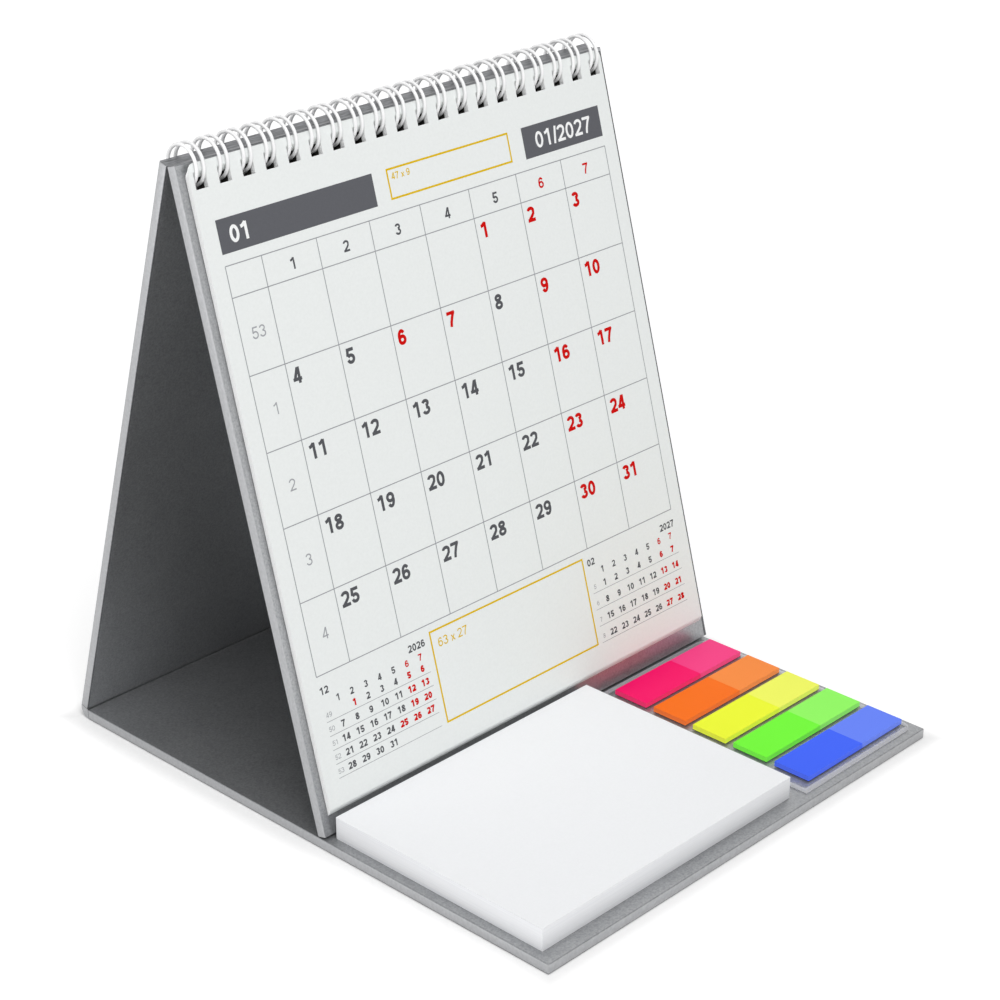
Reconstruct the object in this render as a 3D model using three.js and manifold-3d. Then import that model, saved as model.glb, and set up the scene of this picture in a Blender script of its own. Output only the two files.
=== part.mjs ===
// Desk calendar on a folding board stand, with a note pad and a row of page flags on its foot.
// Millimetres, +Z up, X along the wire, the pad and the flags towards -Y.
// The origin lies on the table, in the middle of the stand's footprint.
import * as THREE from 'three';
import { mergeVertices } from 'three/addons/utils/BufferGeometryUtils.js';
import Module from 'manifold-3d';

const wasm = await Module();
wasm.setup();

// Boards of the stand
const boardWidth = 160;
const boardThickness = 3;
const boardEdgeRound = 0.3;
const baseDepth = 183.4;
const backLength = 183.6;
const frontLength = 182.6;
const footSetback = 83.9;
const boardEndGap = 0.15;

// Covering that joins the boards at the top and at the rear fold
const coverThickness = 0.35;
const spineHingeMargin = 0.9;
const foldSideGap = 0.3;
const foldInnerRadius = 0.4;
const foldSteps = 7;

// Wire binding
const loopPitch = 7.8;
const leastLoopMargin = 5;
const wireDiameter = 1;
const twinSpacing = 2.4;
const ringPaperClearance = 0.455;
const ringDrop = 0.9;
const ringForward = 0.35;
const seamBoardClearance = 0.42;
const tipSeamGap = 1.86;
const seamBendRadius = 0.9;
const wireEndStub = 0.7;
const wireSides = 6;
const legSteps = 12;
const bendSteps = 3;
const tipSteps = 4;

// Holes that the wire runs through
const holeSideClearance = 0.3;
const boardHoleUpperClearance = 0.486;
const boardHoleLowerClearance = 1.245;
const sheetHoleUpperClearance = 0.348;
const sheetHoleLowerClearance = 2.315;

// Calendar sheets
const sheetCount = 12;
const sheetSideMargin = 2.5;
const sheetFootMargin = 7.4;
const sheetThickness = 0.1;
const sheetPitch = 0.136;
const sheetBoardGap = 0.15;
const sheetCornerRadius = 2;
const sheetCornerSteps = 3;
const sheetTopDrop = 0.4;
const hangingSlack = 0.25;

// Note pad
const padHeight = 6.65;
const noteThickness = 0.1;
const padSideMargin = 2.9;
const padFrontMargin = 4.8;
const padRearMargin = 4.1;

// Page flags on their clear carrier
const flagColours = [0x446cff, 0x7cff40, 0xf2ff40, 0xff781c, 0xff1a74];
const flagLength = 44;
const flagWidth = 12;
const flagStackHeight = 1.5;
const flagFilmThickness = 0.1;
const carrierThickness = 0.4;
const carrierPadGap = 1.6;
const carrierSideMargin = 1.5;
const carrierFrontMargin = 2.5;
const carrierRearMargin = 3.2;
const carrierTabRim = 8.5;
const carrierEndRim = 1.5;
const carrierFrontRim = 3.4;
const carrierCornerRadius = 4;

// The three boards stand as a triangle: the back leans forward and the front leans back.
const footToFold = baseDepth - footSetback;
const foldCosine = (footToFold ** 2 + backLength ** 2 - frontLength ** 2) / (2 * footToFold * backLength);
const footCosine = (footToFold ** 2 + frontLength ** 2 - backLength ** 2) / (2 * footToFold * frontLength);
const backLean = Math.PI / 2 - Math.acos(foldCosine);
const frontLean = Math.PI / 2 - Math.acos(footCosine);

// Points of the section: Y from the base's front edge, Z from the table
const foldPoint = { y: baseDepth, z: boardThickness };
const spinePoint = {
  y: foldPoint.y - backLength * Math.sin(backLean),
  z: foldPoint.z + backLength * Math.cos(backLean),
};
const ringCentre = { y: spinePoint.y - ringForward, z: spinePoint.z - ringDrop };
const centreX = boardWidth / 2;
const centreY = (baseDepth + boardThickness) / 2;

// The rings' centre as each board sees it: how far out of its inner face, and how far below the spine
const ringOut = ringForward * Math.cos(frontLean) - ringDrop * Math.sin(frontLean);
const ringBelow = ringForward * Math.sin(frontLean) + ringDrop * Math.cos(frontLean);
const ringOutOfBack = -ringForward * Math.cos(backLean) - ringDrop * Math.sin(backLean);
const ringBelowBack = ringDrop * Math.cos(backLean) - ringForward * Math.sin(backLean);

// The rings just clear the front sheet, and the holes just clear the rings.
const sheetWidth = boardWidth - 2 * sheetSideMargin;
const sheetLength = frontLength - sheetTopDrop - sheetFootMargin;
const frontSheetOut = boardThickness + sheetBoardGap + (sheetCount - 1) * sheetPitch;
const stackReach = frontSheetOut + sheetThickness - ringOut;
const ringRadius = stackReach + ringPaperClearance + wireDiameter / 2;
const loopCount = Math.floor((boardWidth - 2 * leastLoopMargin) / loopPitch) + 1;
const holeWidth = twinSpacing + wireDiameter + 2 * holeSideClearance;

// The comb's seam runs just behind the back board, and the loops' tips stop just short of it.
const seamReach = boardThickness - ringOutOfBack + wireDiameter / 2 + seamBoardClearance;
const seamAngle = backLean - Math.acos(seamReach / ringRadius);

// Height of the wire below the rings' centre where it meets a plane, at its inner or outer side
const wireDepth = (side, plane) => Math.sqrt((ringRadius + (side * wireDiameter) / 2) ** 2 - plane ** 2);
const boardHoleTop = ringBelowBack + wireDepth(-1, boardThickness - ringOutOfBack) - boardHoleUpperClearance;
const boardHoleHeight = ringBelow + wireDepth(1, ringOut) + boardHoleLowerClearance - boardHoleTop;
const sheetHoleTop = ringBelow + wireDepth(-1, stackReach) - sheetTopDrop - sheetHoleUpperClearance;
const sheetHoleBottom = ringBelow + wireDepth(1, stackReach) - sheetTopDrop + sheetHoleLowerClearance;

// The pad and the flags share the foot in front of the boards.
const carrierWidth = carrierTabRim + flagLength + carrierEndRim;
const carrierDepth = footSetback - carrierFrontMargin - carrierRearMargin;
const flagPitch = (carrierDepth - 2 * carrierFrontRim - flagWidth) / (flagColours.length - 1);
const padWidth = boardWidth - padSideMargin - carrierPadGap - carrierWidth - carrierSideMargin;
const padDepth = footSetback - padFrontMargin - padRearMargin;

function plain(color, roughness, metalness = 0) {
  return new THREE.MeshStandardMaterial({ color, roughness, metalness });
}

const boardPaper = plain(0xa6a7a8, 0.55, 0.15);
const whiteWire = plain(0xf4f4f4, 0.35);
const sheetPaper = plain(0xeceeed, 0.7);
const notePaper = plain(0xf2f3f5, 0.85);
const clearFilm = plain(0xd8dadd, 0.08);

function mesh(name, geometry, material) {
  const piece = new THREE.Mesh(geometry, material);
  piece.name = name;
  return piece;
}

function group(name, ...members) {
  const holder = new THREE.Group();
  holder.name = name;
  holder.add(...members);
  return holder;
}

// A box from its lowest corner
function block(x, y, z, width, depth, height) {
  return new THREE.BoxGeometry(width, depth, height).translate(x + width / 2, y + depth / 2, z + height / 2);
}

function toSolid(geometry) {
  const bare = geometry.clone();
  bare.deleteAttribute('normal');
  bare.deleteAttribute('uv');
  const merged = mergeVertices(bare, 1e-4);
  return new wasm.Manifold(new wasm.Mesh({
    numProp: 3,
    vertProperties: new Float32Array(merged.attributes.position.array),
    triVerts: new Uint32Array(merged.index.array),
  }));
}

function toGeometry(solid) {
  const result = solid.getMesh();
  const indexed = new THREE.BufferGeometry();
  indexed.setAttribute('position', new THREE.BufferAttribute(result.vertProperties.slice(), 3));
  indexed.setIndex(new THREE.BufferAttribute(result.triVerts.slice(), 1));
  const geometry = indexed.toNonIndexed();
  geometry.computeVertexNormals();
  return geometry;
}

// X of each loop's middle, from the boards' left edge
function loopPlaces() {
  const first = centreX - ((loopCount - 1) * loopPitch) / 2;
  return Array.from({ length: loopCount }, (_, index) => first + index * loopPitch);
}

function rectangle(left, bottom, width, height) {
  return [
    new THREE.Vector2(left, bottom),
    new THREE.Vector2(left + width, bottom),
    new THREE.Vector2(left + width, bottom + height),
    new THREE.Vector2(left, bottom + height),
  ];
}

// A board with rounded edges lies in the X-Y plane from its lower end up, its thickness along +Z.
function boardGeometry(length) {
  const inset = boardEdgeRound;
  const outline = rectangle(inset, inset, boardWidth - 2 * inset, length - 2 * inset);
  return new THREE.ExtrudeGeometry(new THREE.Shape(outline), {
    depth: boardThickness - 2 * inset,
    bevelThickness: inset,
    bevelSize: inset,
    bevelSegments: 2,
  }).translate(0, 0, inset);
}

// Cuts the row of wire holes, whose upper edge lies at the given height.
function punched(geometry, holeTop, holeHeight, thickness) {
  const cutters = loopPlaces().map((place) => toSolid(
    block(place - holeWidth / 2, holeTop - holeHeight, -thickness, holeWidth, holeHeight, 3 * thickness),
  ));
  return toGeometry(toSolid(geometry).subtract(wasm.Manifold.union(cutters)));
}

function punchedBoard(length) {
  const holeTop = length + boardEndGap - boardHoleTop;
  return punched(boardGeometry(length), holeTop, boardHoleHeight, boardThickness);
}

// The covering of the rear fold rounds the two boards' ends off on the outside.
function rearHinge() {
  const arc = (radius, from, to) => Array.from({ length: foldSteps + 1 }, (_, index) => {
    const angle = from + ((to - from) * index) / foldSteps;
    return new THREE.Vector2(foldPoint.y + radius * Math.cos(angle), foldPoint.z + radius * Math.sin(angle));
  });
  const outer = arc(boardThickness, -Math.PI / 2, backLean);
  const inner = arc(foldInnerRadius, backLean, -Math.PI / 2);
  return alongX([...outer, ...inner], boardWidth - 2 * foldSideGap);
}

// A shallow strip in the valley between the two top ends
function spineHinge() {
  const back = { y: Math.cos(backLean), z: Math.sin(backLean) };
  const front = { y: -Math.cos(frontLean), z: Math.sin(frontLean) };
  const spineHingeReach = boardThickness - spineHingeMargin;
  const at = (side, reach, lift) => new THREE.Vector2(
    spinePoint.y + side.y * reach - Math.sign(side.y) * side.z * lift,
    spinePoint.z + side.z * reach + Math.abs(side.y) * lift,
  );
  const outline = [
    at(back, spineHingeReach, 0),
    at(back, spineHingeReach, coverThickness),
    new THREE.Vector2(spinePoint.y, spinePoint.z + coverThickness / Math.cos(backLean)),
    at(front, spineHingeReach, coverThickness),
    at(front, spineHingeReach, 0),
    new THREE.Vector2(spinePoint.y, spinePoint.z),
  ];
  return alongX(outline, boardWidth - 2 * foldSideGap);
}

// Extrudes an outline drawn in Y and Z along X, centred on the boards' width.
function alongX(outline, width) {
  const turned = outline.map((point) => new THREE.Vector2(point.x, point.y));
  return new THREE.ExtrudeGeometry(new THREE.Shape(turned), { depth: width, bevelEnabled: false })
    .applyMatrix4(new THREE.Matrix4().set(0, 0, 1, 0, 1, 0, 0, 0, 0, 1, 0, 0, 0, 0, 0, 1))
    .translate(centreX - width / 2, 0, 0);
}

// The comb is drawn on the rings' cylinder: X across, and the way round measured from +Y over the top.
// Its corners lie a little outside the circle, so that the middle of each flat step lies on it.
function combPath(fineness) {
  const path = [];
  const seam = ringRadius * seamAngle;
  const legStart = seam + seamBendRadius;
  const legEnd = seam + 2 * Math.PI * ringRadius - tipSeamGap - twinSpacing / 2;
  const cornerRadius = ringRadius / Math.cos((legEnd - legStart) / ringRadius / legSteps / 2);
  const put = (x, around) => {
    const angle = around / ringRadius;
    path.push(new THREE.Vector3(
      x,
      ringCentre.y + cornerRadius * Math.cos(angle),
      ringCentre.z + cornerRadius * Math.sin(angle),
    ));
  };
  const arc = (x, around, radius, from, to, steps) => {
    for (let step = 1; step <= steps * fineness; step += 1) {
      const turn = from + ((to - from) * step) / (steps * fineness);
      put(x + radius * Math.cos(turn), around + radius * Math.sin(turn));
    }
  };
  const leg = (x, from, to) => {
    for (let step = 1; step <= legSteps * fineness; step += 1) {
      put(x, from + ((to - from) * step) / (legSteps * fineness));
    }
  };
  const places = loopPlaces();
  const endReach = twinSpacing / 2 + seamBendRadius + wireEndStub;
  put(places[0] - endReach, seam);
  for (const place of places) {
    const left = place - twinSpacing / 2;
    const right = place + twinSpacing / 2;
    put(left - seamBendRadius, seam);
    arc(left - seamBendRadius, legStart, seamBendRadius, -Math.PI / 2, 0, bendSteps);
    leg(left, legStart, legEnd);
    arc(place, legEnd, twinSpacing / 2, Math.PI, 0, tipSteps);
    leg(right, legEnd, legStart);
    arc(right + seamBendRadius, legStart, seamBendRadius, Math.PI, (3 * Math.PI) / 2, bendSteps);
  }
  put(places[loopCount - 1] + endReach, seam);
  return path;
}

// Sweeps a round section along a path that starts along X, and closes both ends.
function sweep(path, radius) {
  const positions = [];
  const index = [];
  const side = new THREE.Vector3(0, 0, 1);
  path.forEach((point, step) => {
    const before = path[Math.max(step - 1, 0)];
    const after = path[Math.min(step + 1, path.length - 1)];
    const tangent = after.clone().sub(before).normalize();
    side.addScaledVector(tangent, -side.dot(tangent)).normalize();
    const across = tangent.clone().cross(side);
    for (let corner = 0; corner < wireSides; corner += 1) {
      const turn = (2 * Math.PI * corner) / wireSides;
      const out = side.clone().multiplyScalar(Math.cos(turn)).addScaledVector(across, Math.sin(turn));
      positions.push(...point.clone().addScaledVector(out, radius).toArray());
    }
  });
  for (let step = 0; step + 1 < path.length; step += 1) {
    for (let corner = 0; corner < wireSides; corner += 1) {
      const a = step * wireSides + corner;
      const b = step * wireSides + ((corner + 1) % wireSides);
      index.push(a, b, b + wireSides, a, b + wireSides, a + wireSides);
    }
  }
  const last = (path.length - 1) * wireSides;
  for (let corner = 1; corner + 1 < wireSides; corner += 1) {
    index.push(0, corner + 1, corner, last, last + corner, last + corner + 1);
  }
  const indexed = new THREE.BufferGeometry();
  indexed.setAttribute('position', new THREE.Float32BufferAttribute(positions, 3));
  indexed.setIndex(index);
  const geometry = indexed.toNonIndexed();
  geometry.computeVertexNormals();
  return geometry;
}

// Smallest clear distance between two places of the wire that lie well apart along it
function leastWireGap() {
  const path = combPath(3);
  const travelled = [0];
  path.slice(1).forEach((point, index) => travelled.push(travelled[index] + point.distanceTo(path[index])));
  let least = Infinity;
  path.forEach((point, index) => {
    for (let other = index + 1; other < path.length; other += 1) {
      if (travelled[other] - travelled[index] > 3 * wireDiameter) {
        least = Math.min(least, point.distanceTo(path[other]));
      }
    }
  });
  return least - wireDiameter;
}

// The outline of a sheet: lower corners square, upper corners rounded
function sheetOutline() {
  const left = centreX - sheetWidth / 2;
  const right = centreX + sheetWidth / 2;
  const points = [new THREE.Vector2(left, -sheetLength), new THREE.Vector2(right, -sheetLength)];
  const corner = (x, from) => {
    for (let step = 0; step <= sheetCornerSteps; step += 1) {
      const turn = from + (Math.PI / 2) * (step / sheetCornerSteps);
      const y = -sheetCornerRadius + sheetCornerRadius * Math.sin(turn);
      points.push(new THREE.Vector2(x + sheetCornerRadius * Math.cos(turn), y));
    }
  };
  corner(right - sheetCornerRadius, 0);
  corner(left + sheetCornerRadius, Math.PI / 2);
  return points;
}

function sheetGeometry() {
  const plate = new THREE.ExtrudeGeometry(new THREE.Shape(sheetOutline()), {
    depth: sheetThickness,
    bevelEnabled: false,
  });
  return punched(plate, -sheetHoleTop, sheetHoleBottom - sheetHoleTop, sheetThickness);
}

// A sheet farther back meets the wire lower down, so it hangs lower.
function hangingDrop(out) {
  const circle = ringRadius - hangingSlack;
  return Math.sqrt(circle ** 2 - (out + sheetThickness - ringOut) ** 2);
}

function roundedPlate(width, depth, radius, thickness) {
  const shape = new THREE.Shape();
  shape.absarc(width - radius, radius, radius, -Math.PI / 2, 0, false);
  shape.absarc(width - radius, depth - radius, radius, 0, Math.PI / 2, false);
  shape.absarc(radius, depth - radius, radius, Math.PI / 2, Math.PI, false);
  shape.absarc(radius, radius, radius, Math.PI, (3 * Math.PI) / 2, false);
  return new THREE.ExtrudeGeometry(shape, { depth: thickness, bevelEnabled: false, curveSegments: 5 });
}

// Foot: base board, rear fold, note pad and flags
const baseBoard = mesh('base_board', boardGeometry(baseDepth - boardEndGap), boardPaper);
const rearFold = mesh('rear_hinge', rearHinge(), boardPaper);

const pad = group(
  'pad',
  mesh('note_pad', block(0, 0, 0, padWidth, padDepth, padHeight), notePaper),
  mesh('top_note', block(0, 0, padHeight, padWidth, padDepth, noteThickness), notePaper),
);
pad.position.set(padSideMargin, padFrontMargin, boardThickness);

const carrier = mesh(
  'flag_carrier',
  roundedPlate(carrierWidth, carrierDepth, carrierCornerRadius, carrierThickness),
  clearFilm,
);
const flags = group('flags', carrier);
flags.position.set(padSideMargin + padWidth + carrierPadGap, carrierFrontMargin, boardThickness);
flagColours.forEach((colour, index) => {
  const front = carrierFrontRim + index * flagPitch;
  const stackTop = carrierThickness + flagStackHeight;
  const material = plain(colour, 0.3);
  const stack = block(carrierTabRim, front, carrierThickness, flagLength, flagWidth, flagStackHeight);
  const leaf = block(carrierTabRim, front, stackTop, flagLength, flagWidth, flagFilmThickness);
  flags.add(mesh(`flag_stack_${index + 1}`, stack, material));
  flags.add(mesh(`flag_leaf_${index + 1}`, leaf, material));
});
const foot = group('foot', baseBoard, rearFold, pad, flags);

// Back board, leaning forward from the rear fold, and the strip over the top ends
const backBoard = mesh(
  'back_board',
  punchedBoard(backLength - 2 * boardEndGap).translate(0, boardEndGap, -boardThickness),
  boardPaper,
);
backBoard.position.set(0, foldPoint.y, foldPoint.z);
backBoard.rotation.x = Math.PI / 2 + backLean;
const back = group('back', backBoard, mesh('spine_hinge', spineHinge(), boardPaper));

// Front board and sheets: the X-Y plane is the board's rear face, Y up its slope from the spine, Z outwards
const frontBoard = mesh(
  'front_board',
  punchedBoard(frontLength - 2 * boardEndGap).translate(0, boardEndGap - frontLength, 0),
  boardPaper,
);
const front = group('front', frontBoard);
for (let number = 1; number <= sheetCount; number += 1) {
  const out = frontSheetOut - (number - 1) * sheetPitch;
  const sheet = mesh(`sheet_${String(number).padStart(2, '0')}`, sheetGeometry(), sheetPaper);
  sheet.position.set(0, -sheetTopDrop - hangingDrop(out) + hangingDrop(frontSheetOut), out);
  front.add(sheet);
}
front.position.set(0, spinePoint.y, spinePoint.z);
front.rotation.x = Math.PI / 2 - frontLean;

const binding = mesh('wire_binding', sweep(combPath(1), wireDiameter / 2), whiteWire);
console.log(`least gap of the wire to itself: ${leastWireGap().toFixed(2)} mm`);

const stand = group('desk_calendar', foot, back, front, binding);
stand.position.set(-centreX, -centreY, 0);

export default group('calendar', stand);
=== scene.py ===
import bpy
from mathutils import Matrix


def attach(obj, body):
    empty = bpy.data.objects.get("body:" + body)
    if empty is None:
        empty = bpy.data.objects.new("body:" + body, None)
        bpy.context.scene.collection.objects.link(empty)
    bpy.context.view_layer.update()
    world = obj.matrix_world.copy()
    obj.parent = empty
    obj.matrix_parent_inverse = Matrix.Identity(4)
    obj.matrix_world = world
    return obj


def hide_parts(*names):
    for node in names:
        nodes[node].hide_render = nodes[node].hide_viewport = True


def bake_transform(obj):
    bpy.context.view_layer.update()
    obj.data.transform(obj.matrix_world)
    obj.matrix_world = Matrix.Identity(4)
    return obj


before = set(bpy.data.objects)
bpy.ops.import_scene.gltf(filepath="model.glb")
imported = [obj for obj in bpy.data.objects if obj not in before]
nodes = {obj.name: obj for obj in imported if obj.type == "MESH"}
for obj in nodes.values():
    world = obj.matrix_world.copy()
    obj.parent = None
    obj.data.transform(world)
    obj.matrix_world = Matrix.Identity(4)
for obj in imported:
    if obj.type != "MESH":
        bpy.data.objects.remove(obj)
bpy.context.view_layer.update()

import calendar
import datetime
import math

import bpy
from mathutils import Matrix, Vector

scene = bpy.context.scene


def mm(value):
    return value / 1000


# The stand's section, in millimetres: Y from the foot's front edge, Z from the table
stand = {
    "width": 160, "board": 3, "edgeRound": 0.25, "rim": 1.1, "baseDepth": 183.4, "backLength": 183.6,
    "frontLength": 182.6, "footSetback": 83.9, "endGap": 0.15, "coverInset": 0.15,
}
footToFold = stand["baseDepth"] - stand["footSetback"]


# A board's lean from upright, from the triangle that it forms with the other board and the foot
def leanOf(near, far):
    return math.pi / 2 - math.acos((footToFold ** 2 + near ** 2 - far ** 2) / (2 * footToFold * near))


backLean = leanOf(stand["backLength"], stand["frontLength"])
frontLean = leanOf(stand["frontLength"], stand["backLength"])
centreY = (stand["baseDepth"] + stand["board"]) / 2
foldPoint = Vector((0, stand["baseDepth"] - centreY, stand["board"]))
spinePoint = Vector((
    0,
    foldPoint.y - stand["backLength"] * math.sin(backLean),
    foldPoint.z + stand["backLength"] * math.cos(backLean),
))


# From millimetres on a board's own plane (X from the left edge, Y up the slope, Z outwards) to metres
# in the frame
def planeMatrix(origin, turn):
    place = Matrix.Translation(origin / 1000) @ Matrix.Rotation(turn, 4, "X")
    return place @ Matrix.Translation((mm(-stand["width"] / 2), 0, 0)) @ Matrix.Scale(0.001, 4)


frontPlane = planeMatrix(spinePoint, math.pi / 2 - frontLean)
backPlane = planeMatrix(foldPoint, math.pi / 2 + backLean)
basePlane = planeMatrix(Vector((0, -centreY, 0)), 0)


def deselectAll():
    if bpy.context.object and bpy.context.object.mode != "OBJECT":
        bpy.ops.object.mode_set(mode="OBJECT")
    bpy.ops.object.select_all(action="DESELECT")


def makeActive(piece):
    deselectAll()
    piece.select_set(True)
    bpy.context.view_layer.objects.active = piece


# A block with its lowest corner at one point and its size along each axis
def addBlock(name, corner, size):
    deselectAll()
    middle = [corner[axis] + size[axis] / 2 for axis in range(3)]
    bpy.ops.mesh.primitive_cube_add(size=1, location=middle)
    piece = bpy.context.object
    piece.name = name
    piece.scale = size
    bpy.ops.object.transform_apply(location=True, rotation=True, scale=True)
    return piece


def applyModifier(piece, kind, **settings):
    makeActive(piece)
    modifier = piece.modifiers.new(kind.title(), kind)
    for key, value in settings.items():
        setattr(modifier, key, value)
    bpy.ops.object.modifier_apply(modifier=modifier.name)


def joinPieces(pieces):
    deselectAll()
    for piece in pieces:
        piece.select_set(True)
    bpy.context.view_layer.objects.active = pieces[0]
    bpy.ops.object.join()
    return bpy.context.object


# Cuts a piece along planes, each given by a point and a normal
def cutAlong(piece, planes, **settings):
    makeActive(piece)
    bpy.ops.object.mode_set(mode="EDIT")
    for point, normal in planes:
        bpy.ops.mesh.select_all(action="SELECT")
        bpy.ops.mesh.bisect(plane_co=point, plane_no=normal, **settings)
    bpy.ops.object.mode_set(mode="OBJECT")


def coat(piece, *materials):
    piece.data.materials.clear()
    for material in materials:
        piece.data.materials.append(material)


def smooth(piece, degrees):
    makeActive(piece)
    bpy.ops.object.shade_smooth_by_angle(angle=math.radians(degrees))


# Puts a piece in its place, and says which body carries it and which CAD node it stands for
def finishPiece(piece, place, body, node, degrees):
    piece.data.transform(place)
    smooth(piece, degrees)
    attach(piece, body)
    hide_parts(node)


# Colours are written as sRGB and turned to linear light here
def linear(hexColour):
    channels = [int(hexColour[i:i + 2], 16) / 255 for i in (1, 3, 5)]
    return [c / 12.92 if c <= 0.04045 else ((c + 0.055) / 1.055) ** 2.4 for c in channels] + [1]


# An input that is given a socket is linked to it, and any other is set to the value
def setInputs(tree, node, inputs):
    for key, value in inputs.items():
        if isinstance(value, bpy.types.NodeSocket):
            tree.links.new(value, node.inputs[key])
        else:
            node.inputs[key].default_value = value


def addNode(tree, kind, settings=None, inputs=None):
    node = tree.nodes.new(kind)
    for key, value in (settings or {}).items():
        setattr(node, key, value)
    setInputs(tree, node, inputs or {})
    return node


def newMaterial(name, shaderValues):
    material = bpy.data.materials.new(name)
    material.use_nodes = True
    tree = material.node_tree
    shader = tree.nodes["Principled BSDF"]
    setInputs(tree, shader, shaderValues)
    return material, tree, shader


# A cloudy pattern with patches of the given lengths along X, Y and Z, in millimetres
def mottle(tree, lengths, detail):
    place = addNode(tree, "ShaderNodeTexCoord")
    scaled = addNode(tree, "ShaderNodeMapping", inputs={
        "Vector": place.outputs["Object"], "Scale": [1000 / length for length in lengths]})
    noise = addNode(tree, "ShaderNodeTexNoise", inputs={
        "Vector": scaled.outputs[0], "Scale": 1, "Detail": detail})
    return noise.outputs["Fac"]


# 1 on the upright sides of a lying piece and 0 on its top, also once the piece is lifted
def facingSide(tree):
    place = addNode(tree, "ShaderNodeTexCoord")
    facing = addNode(tree, "ShaderNodeSeparateXYZ", inputs={0: place.outputs["Normal"]})
    level = addNode(tree, "ShaderNodeMath", {"operation": "ABSOLUTE"}, {0: facing.outputs["Z"]})
    upright = addNode(tree, "ShaderNodeMath", {"operation": "LESS_THAN"}, {0: level.outputs[0], 1: 0.5})
    return upright.outputs[0]


# How far a point lies outside a box seen from above, in metres, and less than 0 inside it
def boxReach(tree, middle, half):
    place = addNode(tree, "ShaderNodeTexCoord")
    axes = addNode(tree, "ShaderNodeSeparateXYZ", inputs={0: place.outputs["Object"]})
    reaches = []
    for axis, centre, size in zip("XY", middle, half):
        away = addNode(tree, "ShaderNodeMath", {"operation": "SUBTRACT"}, {
            0: axes.outputs[axis], 1: mm(centre)})
        length = addNode(tree, "ShaderNodeMath", {"operation": "ABSOLUTE"}, {0: away.outputs[0]})
        reach = addNode(tree, "ShaderNodeMath", {"operation": "SUBTRACT"}, {
            0: length.outputs[0], 1: mm(size)})
        reaches.append(reach.outputs[0])
    furthest = addNode(tree, "ShaderNodeMath", {"operation": "MAXIMUM"}, {0: reaches[0], 1: reaches[1]})
    return furthest.outputs[0]


# Silver metallic paper pulled round greyboard, finely mottled. The cut sides get a lighter copy of it, as
# painted light, and the creased edges a darker one, as painted shade. The foot's top edges get another, less
# dark copy. Over the spine it's darker, with long streaks.
# Each place has a dark tone, a light tone and the lengths of its grain in millimetres. The grain is drawn
# coarser than it is, so that it shows.
boardFinish = {
    "face": ("#8E9092", "#B0B1B3", (0.55, 0.55, 0.55)), "side": ("#A5A6A8", "#B5B6B8", (0.9, 0.9, 0.9)),
    "spine": ("#626365", "#98999C", (4, 0.4, 0.4)), "paintedShadeCrease": ("#4C4D50", "#66676A", (0.9, 0.9, 0.9)),
    "fold": ("#7C7E80", "#9A9B9D", (0.9, 0.9, 0.9)),
    "roughness": 0.36, "metal": 0.8, "cloudMm": 12, "cloudShare": 0.15, "toneSpan": (0.28, 0.72),
    "relief": 0.5, "grainHeightMm": 0.015,
}


def makeBoardPaper(name, part):
    finish = boardFinish
    dark, light, grainMm = finish[part]
    lowest, highest = finish["toneSpan"]
    material, tree, shader = newMaterial(name, {
        "Roughness": finish["roughness"], "Metallic": finish["metal"]})
    grain = mottle(tree, grainMm, detail=3)
    cloud = mottle(tree, (finish["cloudMm"],) * 3, detail=4)
    both = addNode(tree, "ShaderNodeMix", {"data_type": "FLOAT"}, {
        "Factor": finish["cloudShare"], 2: grain, 3: cloud})
    tone = addNode(tree, "ShaderNodeMapRange", inputs={
        "Value": both.outputs[0], "From Min": lowest, "From Max": highest})
    colour = addNode(tree, "ShaderNodeMix", {"data_type": "RGBA"}, {
        "Factor": tone.outputs[0], 6: linear(dark), 7: linear(light)})
    bump = addNode(tree, "ShaderNodeBump", inputs={
        "Height": grain, "Strength": finish["relief"], "Distance": mm(finish["grainHeightMm"])})
    setInputs(tree, shader, {"Base Color": colour.outputs[2], "Normal": bump.outputs[0]})
    return material


# Coated printing paper: nearly white, a slight cool tint and almost no texture. Its cut edges at its left
# and right are painted pure white, as a painted highlight.
sheetFinish = {
    "dark": "#E6E9E8", "light": "#EFF2F1", "cut": "#FFFFFF", "roughness": 0.5, "specular": 0.3,
    "grainMm": 0.8, "relief": 0.4, "grainHeightMm": 0.01,
}


# The cut edges' painted highlight: where it is, as 0 or 1, its colour and the height
def sheetEdge(tree, grain):
    side = addNode(tree, "ShaderNodeNewGeometry")
    facing = addNode(tree, "ShaderNodeSeparateXYZ", inputs={0: side.outputs["Normal"]})
    across = addNode(tree, "ShaderNodeMath", {"operation": "ABSOLUTE"}, {0: facing.outputs["X"]})
    onHighlightedCut = addNode(tree, "ShaderNodeMath", {"operation": "GREATER_THAN"}, {0: across.outputs[0], 1: 0.5})
    return onHighlightedCut.outputs[0], linear(sheetFinish["cut"]), grain


# Woodfree note paper: whiter and rougher. The leaves show as fine lines on the block's cut sides, drawn
# coarser than the paper is thick so that they show.
noteFinish = {
    "dark": "#EFF0F2", "light": "#F6F7F9", "cutDark": "#EBECEF", "cutLight": "#F0F1F3", "roughness": 0.75,
    "specular": 0.3, "grainMm": 0.5, "relief": 0.4, "grainHeightMm": 0.02,
    "leafMm": (1000 / 12, 1000 / 12, 0.28), "leafSpan": (0.4, 0.6),
}


def noteEdge(tree, grain):
    leaves = mottle(tree, noteFinish["leafMm"], detail=2)
    lowest, highest = noteFinish["leafSpan"]
    lines = addNode(tree, "ShaderNodeMapRange", inputs={
        "Value": leaves, "From Min": lowest, "From Max": highest})
    cut = addNode(tree, "ShaderNodeMix", {"data_type": "RGBA"}, {
        "Factor": lines.outputs[0], 6: linear(noteFinish["cutDark"]), 7: linear(noteFinish["cutLight"])})
    return facingSide(tree), cut.outputs[2], leaves


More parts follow.
